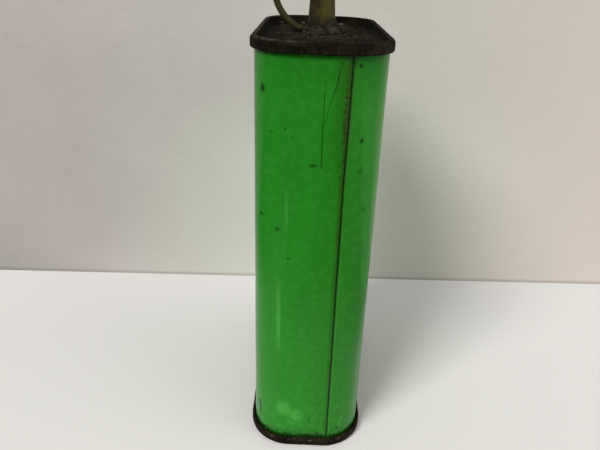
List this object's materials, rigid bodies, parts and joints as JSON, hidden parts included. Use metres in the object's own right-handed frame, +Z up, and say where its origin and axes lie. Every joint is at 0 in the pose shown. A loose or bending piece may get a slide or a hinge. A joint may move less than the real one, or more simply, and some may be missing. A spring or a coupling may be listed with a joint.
{
  "type": "oblong oil tin with spout",
  "caption": "Slim oblong tinplate oil tin with rounded corners, double-seamed countersunk ends, a lapped side seam, a tapered plastic spout and a captive push-on cap.",
  "frame": {"origin": "middle of the base, on the plane that the tin stands on", "axes": "+Z up through the spout, X across the narrow width, Y along the wide one, with the side seam on the -Y face"},
  "size_m": [0.0362, 0.0702, 0.1558],
  "materials": {
    "green_print": "glossy green print on tinplate, worn and scratched",
    "solder": "dull grey solder",
    "lid_tinplate": "dark, oily, rust-stained tinplate",
    "base_tinplate": "dark, rust-stained tinplate",
    "sealing_compound": "dull rubbery sealing compound",
    "spout_polythene": "aged olive-brown polythene, slightly translucent and grimy",
    "strap_polythene": "aged olive polythene, satin"
  },
  "bodies": {
    "tin": {"body_shell": "green_print", "side_seam_solder": "solder", "top_end": "lid_tinplate", "bottom_end": "base_tinplate", "top_seam_compound": "sealing_compound", "bottom_seam_compound": "sealing_compound", "nozzle": "spout_polythene"},
    "tether": {"strap_ring": "strap_polythene", "cap_strap": "strap_polythene"},
    "cap": {"cap": "strap_polythene"}
  },
  "joints": [
    {"name": "tether_swivel", "type": "hinge", "parent": "tin", "child": "tether", "pos_m": [0, 0, 0.12445], "axis": [0, 0, 1], "continuous": true},
    {"name": "cap_pull", "type": "slide", "parent": "tether", "child": "cap", "axis": [0, 0, 1], "range_m": [0, 0.008], "deforming": ["cap_strap"]}
  ]
}
